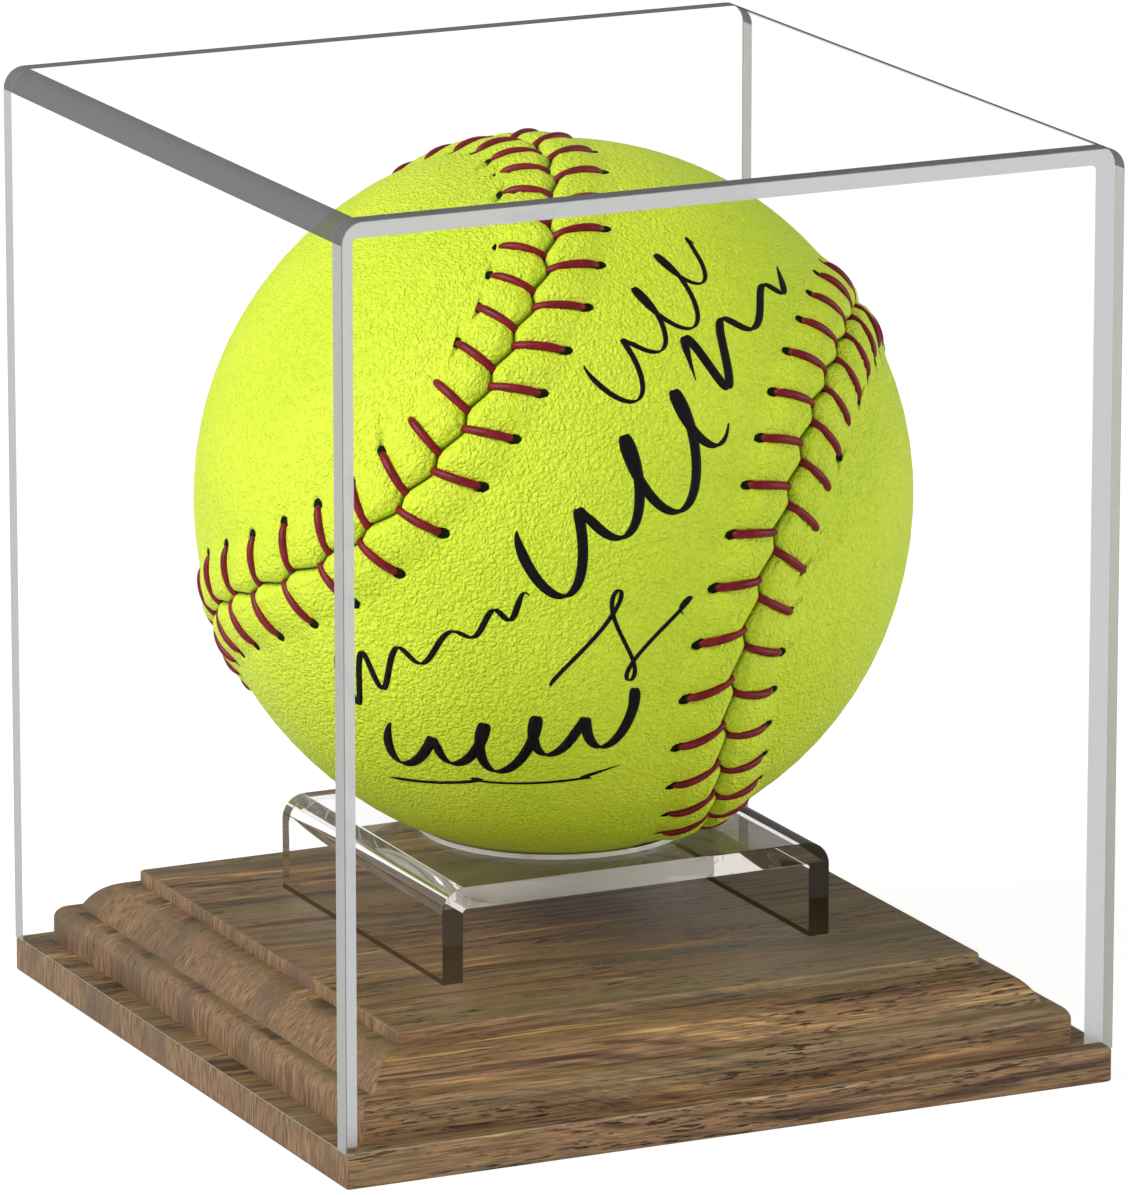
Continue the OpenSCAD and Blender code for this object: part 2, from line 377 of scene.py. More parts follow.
def acrylic_material(name, tint, density, shine, cloud=0.0, matt=None):
    """Thick acrylic, clear or clouded. Lamps reach what is behind it, and long paths turn dark."""
    s = Shader(name)
    bend = s.add("BsdfRefraction", {"Color": WHITE, "Roughness": 0.0, "IOR": ACRYLIC_IOR})
    gloss = s.add("BsdfGlossy", {"Color": WHITE, "Roughness": 0.0})
    fresnel = s.add("Fresnel", {"IOR": ACRYLIC_IOR}).outputs[0]
    trapped = s.range(fresnel, 0.5, 0.98)
    share = s.math("MAXIMUM", trapped, s.math("MULTIPLY", fresnel, shine))
    clear = s.add("MixShader", {0: share, 1: bend.outputs[0], 2: gloss.outputs[0]})
    if cloud:
        clear = s.add("MixShader", {0: cloud, 1: clear.outputs[0], 2: s.satin(matt)})
    mixed = s.add("MixShader", {0: s.gathering(), 1: clear.outputs[0],
                                2: s.add("BsdfTransparent").outputs[0]})
    inside = s.add("VolumeAbsorption", {"Color": tint, "Density": density})
    return s.surface(mixed.outputs[0], inside.outputs[0])


def sheet_material(name, gloss, cloud=0.0, matt=None, rim=False):
    """A thin sheet's face, clear or clouded, which light crosses without bending.

    A clouded face is satin where it is seen, and with rim only where it turns from the eye.
    """
    s = Shader(name)
    haze = s.noise(s.scaled(0.5, 0.5, 0.5), 2.0)
    through = s.add("BsdfTransparent", {"Color": s.mix(haze, (0.996, 0.996, 0.996, 1.0), WHITE)})
    shine = s.add("BsdfGlossy", {"Color": WHITE, "Roughness": 0.0})
    facing = s.add("LayerWeight", {"Blend": 0.5}).outputs["Facing"]
    share = s.math("MULTIPLY", s.math("POWER", facing, 5.0), gloss)
    clear = s.add("MixShader", {0: share, 1: through.outputs[0], 2: shine.outputs[0]})
    if not cloud:
        return s.surface(clear.outputs[0])
    # With rim, the satin is painted shade that shows only where the face turns from the eye.
    amount = s.range(facing, 0.72, 0.86, 0.0, cloud) if rim else cloud
    amount = s.math("MULTIPLY", s.math("SUBTRACT", 1.0, s.gathering()), amount)
    mixed = s.add("MixShader", {0: amount, 1: clear.outputs[0], 2: s.satin(matt)})
    return s.surface(mixed.outputs[0])


LEATHER_COLOUR_A = (0.68, 0.83, 0.034, 1.0)
LEATHER_COLOUR_B = (0.62, 0.79, 0.028, 1.0)
# Colour of the painted shade in the seam groove and the needle holes
LEATHER_SHADE_COLOUR = (0.010, 0.022, 0.002, 1.0)


def leather_material():
    """Optic yellow leather with a fine wrinkled grain, and painted shade in the grain's hollows,
    the seam groove and the needle holes.
    """
    s = Shader("ball_leather")
    warp = s.add("TexNoise", {"Vector": s.scaled(0.5, 0.5, 0.5), "Scale": 1.0, "Detail": 2.0})
    offset = s.add("VectorMath", {0: warp.outputs["Color"], 1: (0.5, 0.5, 0.5)},
                   operation="SUBTRACT")
    bent = s.add("VectorMath", {0: offset.outputs[0], 1: (1.6, 1.6, 1.6),
                                2: s.scaled(1.25, 1.25, 1.25)},
                 operation="MULTIPLY_ADD").outputs[0]
    cells = s.add("TexVoronoi", {"Vector": bent, "Scale": 1.0, "Randomness": 1.0},
                  feature="DISTANCE_TO_EDGE").outputs["Distance"]
    pebbles = s.range(cells, 0.0, 0.35)
    wrinkle = s.noise(s.scaled(1.35, 1.35, 1.35), 2.0, 0.5, 0.7)
    height = s.math("ADD", s.math("MULTIPLY", pebbles, 0.3), wrinkle)
    painted_shade = s.add("Attribute", attribute_name="painted_shade").outputs["Fac"]
    shade = s.noise(s.scaled(0.05, 0.05, 0.05), 2.0)
    colour = s.mix(s.range(shade, 0.35, 0.65), LEATHER_COLOUR_A, LEATHER_COLOUR_B)
    # Painted shade: the hollows of the grain are up to 5 percent darker.
    colour = s.toned(colour, s.range(height, 0.45, 0.8, 0.95, 1.0))
    # Painted shade, darkest in the seam groove and round the needle holes.
    colour = s.mix(painted_shade, colour, LEATHER_SHADE_COLOUR)
    shader = s.add("BsdfPrincipled", {
        "Base Color": colour, "Roughness": 0.5, "Specular IOR Level": 0.32,
        "Normal": s.bump(height, 0.44 * MM, 1.0)})
    return s.surface(shader.outputs[0])


def thread_material():
    """Waxed crimson thread."""
    s = Shader("stitch_thread")
    fuzz = s.noise(s.scaled(5.0, 5.0, 5.0), 2.0, 0.6)
    wax = s.noise(s.scaled(0.7, 0.7, 0.7), 2.0)
    colour = s.mix(s.range(wax, 0.35, 0.65), rgb(110, 12, 24), rgb(130, 18, 32))
    colour = s.mix(s.math("MULTIPLY", fuzz, 0.3), colour, rgb(84, 6, 16))
    shader = s.add("BsdfPrincipled", {
        "Base Color": colour, "Roughness": s.range(wax, 0.3, 0.7, 0.34, 0.5),
        "Specular IOR Level": 0.25, "Normal": s.bump(fuzz, 0.05 * MM, 0.6)})
    return s.surface(shader.outputs[0])


def hole_shade_material():
    """Painted shade for a needle hole: a fluffy dark green."""
    s = Shader("needle_hole_shade")
    fluff = s.noise(s.scaled(2.4, 2.4, 2.4), 3.0, 0.6)
    colour = s.mix(fluff, rgb(6, 14, 4), rgb(24, 40, 10))
    shader = s.add("BsdfPrincipled", {
        "Base Color": colour, "Roughness": 0.9, "Specular IOR Level": 0.05,
        "Normal": s.bump(fluff, 0.1 * MM)})
    return s.surface(shader.outputs[0])


def ink_material():
    """Dried black marker ink, a little uneven."""
    s = Shader("marker_ink")
    patch = s.noise(s.scaled(1.2, 1.2, 1.2), 3.0, 0.6)
    colour = s.mix(patch, rgb(4, 4, 5), rgb(13, 12, 15))
    shader = s.add("BsdfPrincipled", {
        "Base Color": colour, "Roughness": 0.6, "Specular IOR Level": 0.15,
        "Normal": s.bump(patch, 0.05 * MM)})
    return s.surface(shader.outputs[0])


def core_material():
    """The ball's moulded foam core, which the leather hides."""
    s = Shader("ball_core_foam")
    cells = s.noise(s.scaled(0.8, 0.8, 0.8), 4.0, 0.7)
    colour = s.mix(cells, rgb(170, 140, 92), rgb(214, 190, 140))
    shader = s.add("BsdfPrincipled", {
        "Base Color": colour, "Roughness": 0.8, "Normal": s.bump(cells, 0.2 * MM)})
    return s.surface(shader.outputs[0])


# ---- Base ----


def moulding_profile():
    """(Offset from the base's edge, height) of its section, from the felt recess to the top."""
    edge = 0.35 * MM
    foot_in = COVER_T + COVER_GAP
    step_z = FLANGE_T + STEP_H
    ovolo_z = step_z + OVOLO_H
    ovolo_cz = ovolo_z - OVOLO_R
    ledge_in = foot_in + STEP_ROUND + LEDGE_W
    ovolo_in = ledge_in + math.sqrt(OVOLO_R ** 2 - (step_z - ovolo_cz) ** 2)
    ovolo_start = math.degrees(math.asin((step_z - ovolo_cz) / OVOLO_R))
    points = [(-FELT_INSET, FELT_T), (-FELT_INSET, 0.0)]
    points += arc(-edge, edge, edge, -90, 0, 4)
    points += arc(-edge, FLANGE_T - edge, edge, 0, 90, 4)
    points += [(-foot_in, FLANGE_T)]
    points += arc(-foot_in - STEP_ROUND, step_z - STEP_ROUND, STEP_ROUND, 0, 90, 14)
    points += [(-ledge_in - 0.02 * MM, step_z)]
    points += arc(-ovolo_in, ovolo_cz, OVOLO_R, ovolo_start, 90, 24)
    points += arc(-ovolo_in - edge, BASE_H - edge, edge, 0, 90, 4)
    return points


def base_board(material):
    """The walnut board, its moulding mitred at the corners and hollow underneath for the felt."""
    corner_steps = 4
    corner_r = 0.45 * MM
    quarter = np.radians(np.linspace(0, 90, corner_steps))
    rings = []
    for offset, z in moulding_profile():
        for k in range(4):
            turn = math.radians(90 * k)
            sign_x = round(math.sqrt(2) * math.cos(turn + math.pi / 4))
            sign_y = round(math.sqrt(2) * math.sin(turn + math.pi / 4))
            cx = sign_x * (CASE_W / 2 + offset - corner_r)
            cy = sign_y * (CASE_D / 2 + offset - corner_r)
            for a in quarter:
                rings.append((cx + corner_r * math.cos(turn + a),
                              cy + corner_r * math.sin(turn + a), z))
    cols = 4 * corner_steps
    rows = len(rings) // cols
    faces = net_faces(rows, cols, wrap=True)
    faces.append(list(range(cols))[::-1])
    faces.append(list(range((rows - 1) * cols, rows * cols)))
    board = solid("base_board_moulded", rings, faces, material)
    board.data.set_sharp_from_angle(angle=math.radians(32))
    return place(board, "root", "walnut", "base_board")


def base_felt(material):
    """The felt sheet, with soft edges and a slightly uneven underside."""
    n = 90
    grid_x = np.linspace(FELT_LO.x, FELT_HI.x, n)
    grid_y = np.linspace(FELT_LO.y, FELT_HI.y, n)
    x, y = np.meshgrid(grid_x, grid_y, indexing="ij")
    rim = np.minimum(np.minimum(x - FELT_LO.x, FELT_HI.x - x),
                     np.minimum(y - FELT_LO.y, FELT_HI.y - y))
    lift = 0.12 * MM * (1 - ease(rim, 0, 1.5 * MM))
    waves = np.sin(x * 410) * np.sin(y * 530 + 1) + np.sin(x * 1270 + y * 890)
    under = lift + 0.02 * MM * (waves + 2) * ease(rim, 0, 1.5 * MM)
    lower = np.stack([x, y, under], -1).reshape(-1, 3)
    upper = np.stack([x, y, np.full_like(x, FELT_T - CONTACT_GAP)], -1).reshape(-1, 3)
    faces = net_faces(n, n) + [f[::-1] for f in net_faces(n, n, first=n * n)]
    border = [(i, 0) for i in range(n)] + [(n - 1, k) for k in range(1, n)]
    border += [(i, n - 1) for i in range(n - 2, -1, -1)] + [(0, k) for k in range(n - 2, 0, -1)]
    ids = [i * n + k for i, k in border]
    for a, b in zip(ids, ids[1:] + ids[:1]):
        faces.append([b, a, a + n * n, b + n * n])
    felt = solid("base_felt_sheet", np.concatenate([lower, upper]), faces, material)
    felt.data.set_sharp_from_angle(angle=math.radians(50))
    return place(felt, "root", "felt", "base_felt")


# ---- Acrylic ----

BEND_STEPS = 28
COVER_FOOT = FLANGE_T - CONTACT_GAP
RISER_GLASS = (0.5, 0.42, 0.3, 1.0), 13.0


def extruded(name, outline, y_start, y_end, material):
    """A closed solid with a flat outline of (x, z) points, drawn along Y."""
    n = len(outline)
    points = [(x, y, z) for y in (y_start, y_end) for x, z in outline]
    faces = [list(range(n)), list(range(n, 2 * n))[::-1]]
    faces += [[(k + 1) % n, k, k + n, (k + 1) % n + n] for k in range(n)]
    return solid(name, points, faces, material)


def arch(width, foot_z, top_z, r):
    """Outline of an upright sheet with two round upper corners."""
    left = arc(-width / 2 + r, top_z - r, r, 180, 90, BEND_STEPS)
    right = arc(width / 2 - r, top_z - r, r, 90, 0, BEND_STEPS)
    return [(-width / 2, foot_z)] + left + right + [(width / 2, foot_z)]


def bent_outline(width, foot_z, top_z, thickness, outer_r, inner_r):
    """Outline of a sheet bent into an upside-down U."""
    outer = arch(width, foot_z, top_z, outer_r)
    inner = arch(width - 2 * thickness, foot_z, top_z - thickness, inner_r)
    return outer + inner[::-1]


def on_bend(face):
    """Whether a face is on the outside of a bend."""
    return 0.02 < face.normal.z < 0.999


def cover_shell(clear, cut, near_bend_shade, far_bend_shade, front_joint_light, back_joint):
    """The bent sheet: left side, top and right side in one. Its ends are glued to the panels."""
    outline = bent_outline(CASE_W, COVER_FOOT, SHELL_HI.z, COVER_T, COVER_BEND_R, COVER_INNER_R)
    shell = extruded("cover_bent_sheet", outline, SHELL_LO.y + CONTACT_GAP,
                     SHELL_HI.y - CONTACT_GAP, clear)
    # Painted shade: the outer bends are grey, and the far one only where it turns from the eye.
    paint(shell.data, near_bend_shade, on_bend)
    paint(shell.data, far_bend_shade, lambda face: on_bend(face) and face.normal.x > 0)
    # Painted light: the front end face is light grey, for the white surround seen along the sheet.
    paint(shell.data, front_joint_light, lambda face: face.normal.y < -0.5)
    paint(shell.data, back_joint, lambda face: face.normal.y > 0.5)
    paint(shell.data, cut, lambda face: face.center.z < COVER_FOOT + FOOT_BAND)
    place(crisp(shell), "cover", "cover_acrylic", "cover_shell")


def cover_panel(side, outside, clear, cut, bend, arris_shade):
    """The flat front or back panel, whose outer face looks along Y times outside."""
    node = f"cover_{side}_panel"
    lo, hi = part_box(node)
    middle = (lo.y + hi.y) / 2
    flat = extruded(f"cover_{side}_sheet", arch(CASE_W, COVER_FOOT, SHELL_HI.z, COVER_BEND_R),
                    lo.y, hi.y, clear)
    paint(flat.data, cut, lambda face: abs(face.normal.y) < 0.5)
    # Painted shade: the rim faces that look upwards are dark grey like the bends.
    paint(flat.data, bend, lambda face: face.normal.z > 0.02)
    # Painted shade: the rounded outer edges are dark grey.
    bevelled(flat, ARRIS_W, arris_shade, lambda at: (at.y - middle) * outside > 0)
    place(flat, "cover", "cover_acrylic", node)


def cover():
    """The lift-off cover: one bent sheet between two flat panels, glued edge to face."""
    clear = sheet_material("cover_acrylic", 0.03)
    # Painted shade for the rounded edges of the clear sheets
    arris_shade = sheet_material("cover_arris_shade", 0.1, 0.75, rgb(100, 102, 104))
    cut = sheet_material("cover_cut_edge", 0.1, 0.85, rgb(160, 161, 157))
    # Painted shade for the bends of the clear sheets
    near_bend_shade = sheet_material("cover_near_bend_shade", 0.05, 0.94, rgb(94, 94, 94))
    far_bend_shade = sheet_material("cover_far_bend_shade", 0.0, 0.9, rgb(84, 84, 84), rim=True)
    # Painted light for the bent sheet's front end, seen through the front panel
    front_joint_light = sheet_material("cover_front_joint_light", 0.05, 0.94, rgb(222, 223, 226))
    back_joint = sheet_material("cover_clear_joint", 0.0)
    cover_shell(clear, cut, near_bend_shade, far_bend_shade, front_joint_light, back_joint)
    cover_panel("front", -1, clear, cut, near_bend_shade, arris_shade)
    cover_panel("back", 1, clear, cut, near_bend_shade, arris_shade)


def drilled(sheet, r, z_start, z_end, material):
    """Drills a round hole of radius r about the Z axis through a sheet."""
    sides = 240
    turn = np.linspace(0, 2 * math.pi, sides, endpoint=False)
    ring = np.stack([r * np.cos(turn), r * np.sin(turn)], -1)
    points = np.concatenate([np.column_stack([ring, np.full(sides, z)])
                             for z in (z_start, z_end)])
    faces = net_faces(2, sides, wrap=True)
    faces += [list(range(sides))[::-1], list(range(sides, 2 * sides))]
    drill = solid("drill", points, faces, material)
    cut = sheet.modifiers.new("seat", "BOOLEAN")
    cut.operation = "DIFFERENCE"
    cut.solver = "EXACT"
    cut.object = drill
    bpy.context.view_layer.update()
    evaluated = sheet.evaluated_get(bpy.context.evaluated_depsgraph_get())
    holed = bpy.data.meshes.new_from_object(evaluated)
    sheet.modifiers.clear()
    sheet.data = holed
    bpy.data.objects.remove(drill)


def riser():
    """The bent riser, with a drilled round hole that the ball sits in."""
    clear = acrylic_material("riser_acrylic", *RISER_GLASS, 0.6)
    # Painted shade: the foot's underside is dark brown, for the shaded wood seen through the foot.
    foot_shade = acrylic_material("riser_foot_shade", *RISER_GLASS, 0.1, 1.0, rgb(74, 59, 44))
    # The hole's wall is near-white: partly the frosted cut of the drill, partly painted light for
    # the pale ring under the ball.
    rim = acrylic_material("riser_rim_frost_and_light", *RISER_GLASS, 0.1, 0.9, rgb(222, 218, 214))
    outline = bent_outline(RISER_HI.x - RISER_LO.x, RISER_LO.z + CONTACT_GAP, RISER_HI.z,
                           RISER_T, RISER_BEND_R, RISER_INNER_R)
    sheet = extruded("riser_bent_sheet", outline, RISER_LO.y, RISER_HI.y, clear)
    drilled(sheet, SEAT_R, RISER_HI.z - 2 * RISER_T, RISER_HI.z + RISER_T, clear)
    # The foot's underside gets the painted shade.
    paint(sheet.data, foot_shade, lambda face: face.center.z < RISER_LO.z + 2 * CONTACT_GAP)
    # The hole's wall gets the frost and the painted light.
    paint(sheet.data, rim, lambda face: abs(face.normal.z) < 0.1
          and face.center.xy.length < SEAT_R + 0.1 * MM)
    place(bevelled(sheet, ARRIS_W), "root", "riser_acrylic", "riser")


# ---- Ball ----

# How near the seam comes to the poles of its figure, and how far it swings to the sides
SEAM_TIP = math.radians(24.5)
SEAM_SWING = math.radians(24.4)
SEAM_SAMPLES = 4000
# Turns of the ball as it lies in its seat, in degrees about X, Y and Z
BALL_TILT = (-144.0, -39.5, 44.0)
# The stitches: how many, where the first one is, how they crowd at the tips of the lobes,
# how far a leg reaches from the seam, and how far the two sides are out of step
STITCH_N = 77
STITCH_PHASE = 0.24
STITCH_BUNCH = 0.12
STITCH_REACH = 6.6 * MM
STITCH_STAGGER = 2.3 * MM
# How far ahead of a leg's start its needle hole lies, on each side of the seam
SLANT_RIGHT = 1.4 * MM
SLANT_LEFT = 2.3 * MM
THREAD_R = 0.6 * MM
# How far past a leg's end the middle of its needle hole lies, and the hole's half sizes
HOLE_PAST = 0.2 * MM
HOLE_HALF_L = 0.95 * MM
HOLE_HALF_W = 0.74 * MM
# How far the leather stays under the ball's radius where it meets its seat
SEAT_CLEARANCE = 0.1 * MM
# Half of the gap between the two panels, and the width of the close-set border of their nets
SEAM_HALF_GAP = 0.05 * MM
BORDER_W = 9.5 * MM


def turned(tilt):
    """Matrix of turns about X, then Y, then Z, in degrees."""
    (cx, sx), (cy, sy), (cz, sz) = [(math.cos(a), math.sin(a)) for a in map(math.radians, tilt)]
    about_x = np.array([[1, 0, 0], [0, cx, -sx], [0, sx, cx]])
    about_y = np.array([[cy, 0, sy], [0, 1, 0], [-sy, 0, cy]])
    about_z = np.array([[cz, -sz, 0], [sz, cz, 0], [0, 0, 1]])
    return about_z @ about_y @ about_x


def unit(v):
    return v / np.linalg.norm(v, axis=-1, keepdims=True)


def seam_dir(t):
    """Directions of the seam figure at angles t, which run from 0 to 4 pi."""
    lat = (math.pi / 2 - SEAM_TIP) * np.cos(t)
    lon = t / 2 + SEAM_SWING * np.sin(2 * t)
    return np.stack([np.cos(lat) * np.cos(lon), np.cos(lat) * np.sin(lon), np.sin(lat)], -1)


def seam_axes(t):
    """Directions of the seam figure at angles t, and its headings along and across there."""
    step = 1e-4
    p = seam_dir(t)
    along = unit(seam_dir(t + step) - seam_dir(t - step))
    return p, along, np.cross(p, along)


TURN = turned(BALL_TILT)
seam_t = np.linspace(0, 4 * math.pi, SEAM_SAMPLES + 1)
seam_p, seam_along, seam_across = seam_axes(seam_t)
seam_steps = BALL_R * np.linalg.norm(np.diff(seam_p, axis=0), axis=1)
seam_s = np.append(0, np.cumsum(seam_steps))
SEAM_LEN = seam_s[-1]
PITCH = SEAM_LEN / STITCH_N


def stitch_run(k):
    """Length along the seam at stitch k. Stitches crowd at the tips of the lobes."""
    run = (k + STITCH_PHASE) * PITCH
    lobe = SEAM_LEN / 4
    return run - STITCH_BUNCH * lobe / (2 * math.pi) * np.sin(2 * math.pi * run / lobe)


stitch_k = np.arange(-3, STITCH_N + 4)
stitch_s = stitch_run(stitch_k)


def from_stitch(run, side, off):
    """Share of a pitch, from -0.5 to 0.5, between a place and the nearest leg of thread."""
    slant = np.where(side > 0, SLANT_RIGHT, SLANT_LEFT)
    start = run - side * STITCH_STAGGER / 2 - slant * np.clip(off / STITCH_REACH, 0, 1.3)
    k = np.interp(start, stitch_s, stitch_k)
    return k - np.round(k)


def seam_place(dirs):
    """Nearest seam sample, length along the seam and signed distance across it."""
    parts = np.array_split(dirs, max(1, len(dirs) // 1500))
    nearest = np.concatenate([(part @ seam_p.T).argmax(1) for part in parts])
    run = seam_s[nearest] + BALL_R * (dirs * seam_along[nearest]).sum(1)
    off = BALL_R * np.arcsin(np.clip((dirs * seam_across[nearest]).sum(1), -1, 1))
    return nearest, run, off


def seat_room(dirs):
    """0 where the ball meets the rim of its seat, and 1 a few millimetres away from it."""
    polar = np.arccos(np.clip(-(dirs @ TURN.T)[:, 2], -1, 1))
    away = BALL_R * np.abs(polar - math.asin(SEAT_R / BALL_R))
    return ease(away, 1.5 * MM, 6 * MM)


def leather_relief(dirs, run, off, hole_depth=0.7 * MM):
    """Height of the leather over the ball's radius, and its painted shade, at each direction."""
    side = np.where(off >= 0, 1, -1)
    gap = np.abs(off)
    share = from_stitch(run, side, gap)
    # Puffs between the legs of thread, on a shoulder beside the seam
    puff = np.abs(np.sin(math.pi * share)) ** 0.65
    shoulder = ease(gap, 0.0, 1.8 * MM) * (1 - ease(gap, 3.4 * MM, 8.8 * MM))
    rise = shoulder * (0.22 * MM + 0.72 * MM * puff)
    # The leather is pulled down round a needle hole, and goes into it
    beside = share * PITCH
    past = gap - STITCH_REACH - HOLE_PAST
    from_hole = np.sqrt((past / (0.9 * MM)) ** 2 + (beside / (0.66 * MM)) ** 2)
    hole = 1 - ease(from_hole, 0.75, 1.1)
    pull = np.exp(-(past ** 2 + beside ** 2) / (1.9 * MM) ** 2)
    waves = np.zeros(len(dirs))
    for k, (x, y, z) in enumerate(((5, 3, -4), (-6, 5, 2), (3, -7, 5), (8, 4, 6))):
        waves += 0.035 * MM * np.sin(dirs @ np.array([x, y, z]) + k)
    # Over the seat, only a small clearance stays
    height = (rise + waves + SEAT_CLEARANCE) * seat_room(dirs) - SEAT_CLEARANCE
    groove = np.exp(-(gap / (0.26 * MM)) ** 2)
    height -= 0.6 * MM * groove + hole_depth * hole + 0.22 * MM * pull
    # Painted shade: dark in the seam groove, and less so in the needle holes.
    painted_shade = np.clip(0.7 * groove + 0.35 * hole, 0, 1)
    return height, painted_shade


def scallop(run):
    """Sideways shift of the seam line, which each side's puffs push over."""
    right = from_stitch(run, 1, 0)
    left = from_stitch(run, -1, 0)
    push = np.abs(np.sin(math.pi * left)) - np.abs(np.sin(math.pi * right))
    return 0.7 * MM * push


def ball_points(dirs, heights):
    """Points in the row frame at directions and heights given in the ball's own frame."""
    return (dirs * (BALL_R + heights)[:, None]) @ TURN.T + np.array(BALL_CENTRE)


def panel_net(rings, dense):
    """Directions of a panel's net, ring by ring from tip to tip, close-set by the seam."""
    tip = math.radians(1.2)
    t = np.linspace(-math.pi + tip, math.pi - tip, rings)
    p = seam_dir(t)
    span = np.maximum(np.arcsin(p[:, 0]) - SEAM_HALF_GAP / BALL_R, 0.002)[:, None]
    if dense:
        band = np.minimum(BORDER_W / BALL_R, 0.6 * span)
        field = (span - band) * np.linspace(0, 1, 9)[None, :-1]
        border = (span - band) + band * np.linspace(0, 1, 34)[None, :]
        half = np.concatenate([field, border], axis=1)
    else:
        half = span * np.linspace(0, 1, 5)[None, :]
    angle = np.concatenate([-half[:, :0:-1], half], axis=1)[:, :, None]
    spine = unit(p * np.array([0, 1, 1]))[:, None, :]
    net = np.cos(angle) * spine
    net[:, :, 0] = np.sin(angle[:, :, 0])
    return net


def leather_panel(name, swap, material, node):
    """One figure-of-eight panel, puffed up between the legs of thread."""
    rings = 1021
    outer = panel_net(rings, True)
    inner = panel_net(rings, False)
    if swap:
        outer = outer[:, :, [1, 0, 2]] * np.array([1, 1, -1])
        inner = inner[:, :, [1, 0, 2]] * np.array([1, 1, -1])
    cols, inner_cols = outer.shape[1], inner.shape[1]
    dirs = outer.reshape(-1, 3)
    nearest, run, off = seam_place(dirs)
    height, painted_shade = leather_relief(dirs, run, off)
    shift = scallop(run) * np.exp(-(off / (1.5 * MM)) ** 2) / BALL_R
    moved = unit(dirs + seam_across[nearest] * shift[:, None])
    inner_dirs = inner.reshape(-1, 3)
    low = np.full(len(inner_dirs), -LEATHER_T)
    points = np.concatenate([ball_points(moved, height), ball_points(inner_dirs, low)])
    first = rings * cols
    faces = net_faces(rings, cols)
    faces += [f[::-1] for f in net_faces(rings, inner_cols, first=first)]
    for i in range(rings - 1):
        a, b = i * cols, (i + 1) * cols
        c, d = first + i * inner_cols, first + (i + 1) * inner_cols
        faces.append([a, b, d, c])
        faces.append([b + cols - 1, a + cols - 1, c + inner_cols - 1, d + inner_cols - 1])
    for i, flip in ((0, 1), (rings - 1, -1)):
        upper = list(range(i * cols, (i + 1) * cols))
        lower = list(range(first + i * inner_cols, first + (i + 1) * inner_cols))
        faces.append((upper[::-1] + lower)[::-flip])
    panel = solid(name, points, faces, material)
    attribute = panel.data.attributes.new("painted_shade", "FLOAT", "POINT")
    attribute.data.foreach_set("value", np.append(painted_shade, np.zeros(len(inner_dirs))))
    return place(panel, "ball", "ball_leather", node)


def tube(points, out, half_w, half_h, sides):
    """Rings of a tube along points, flat to the outward directions out, and its closed faces."""
    tangent = unit(np.gradient(points, axis=0))
    side = unit(np.cross(out, tangent))
    up = np.cross(tangent, side)
    angle = np.linspace(0, 2 * math.pi, sides, endpoint=False)[None, :, None]
    ring = (np.cos(angle) * side[:, None] * np.reshape(half_w, (-1, 1, 1))
            + np.sin(angle) * up[:, None] * np.reshape(half_h, (-1, 1, 1)))
    n = len(points)
    faces = net_faces(n, sides, wrap=True)
    faces += [list(range(sides))[::-1], list(range((n - 1) * sides, n * sides))]
    return (points[:, None] + ring).reshape(-1, 3), faces


def joined(parts):
    """Several (points, faces) as one."""
    points, faces, first = [], [], 0
    for some, quads in parts:
        points.append(some)
        faces += [[k + first for k in quad] for quad in quads]
        first += len(some)
    return np.concatenate(points), faces


def seam_point(run, off):
    """Directions at a length along the seam and a signed distance across it."""
    p, _, across = seam_axes(np.interp(np.mod(run, SEAM_LEN), seam_s, seam_t))
    a = (off / BALL_R)[:, None]
    return np.cos(a) * p + np.sin(a) * across


def stitch_leg(k, side):
    """One leg of thread, from under the seam's edge, over the leather, into its needle hole."""
    steps = 22
    u = np.linspace(0, 1, steps)
    off = 0.1 * MM + (STITCH_REACH - 0.1 * MM) * u
    slant = SLANT_RIGHT if side > 0 else SLANT_LEFT
    run = stitch_run(k) + side * STITCH_STAGGER / 2 + slant * off / STITCH_REACH
    dirs = seam_point(run, side * off)
    crown = np.clip(np.sin(math.pi * u), 0, 1) ** 0.6
    wobble = 0.05 * MM * math.sin(2.3 * k + side)
    open_height = -0.62 * MM + (1.15 * MM + wobble) * crown + 0.3 * MM * u ** 2
    seated_height = -0.95 * MM + 0.35 * MM * crown
    room = seat_room(dirs)
    height = seated_height + (open_height - seated_height) * room
    taper = THREAD_R * (1 - 0.25 * np.abs(2 * u - 1) ** 6)
    points = ball_points(dirs, height)
    return tube(points, dirs @ TURN.T, taper, taper * 0.92, 14)


def stitching(material):
    """The red stitches, two legs each, all round the seam."""
    legs = [stitch_leg(k, side) for k in range(STITCH_N) for side in (-1, 1)]
    points, faces = joined(legs)
    thread = solid("ball_stitches", points, faces, material)
    return place(thread, "ball", "stitch_thread", "ball_stitching")


def needle_hole_shade(k, side):
    """A thin dark oval laid over the leather at the needle hole that the end of a leg of thread
    goes into, as painted shade.
    """
    u = np.linspace(-0.98, 0.98, 13)
    off = STITCH_REACH + HOLE_PAST + HOLE_HALF_L * u
    slant = SLANT_RIGHT if side > 0 else SLANT_LEFT
    run = stitch_run(k) + side * STITCH_STAGGER / 2 + slant * off / STITCH_REACH
    dirs = seam_point(run, side * off)
    height = leather_relief(dirs, run, side * off, 0.0)[0] + (0.03 - 0.06 * u ** 2) * MM
    return tube(ball_points(dirs, height), dirs @ TURN.T, HOLE_HALF_W * np.sqrt(1 - u ** 2),
                0.05 * MM, 10)


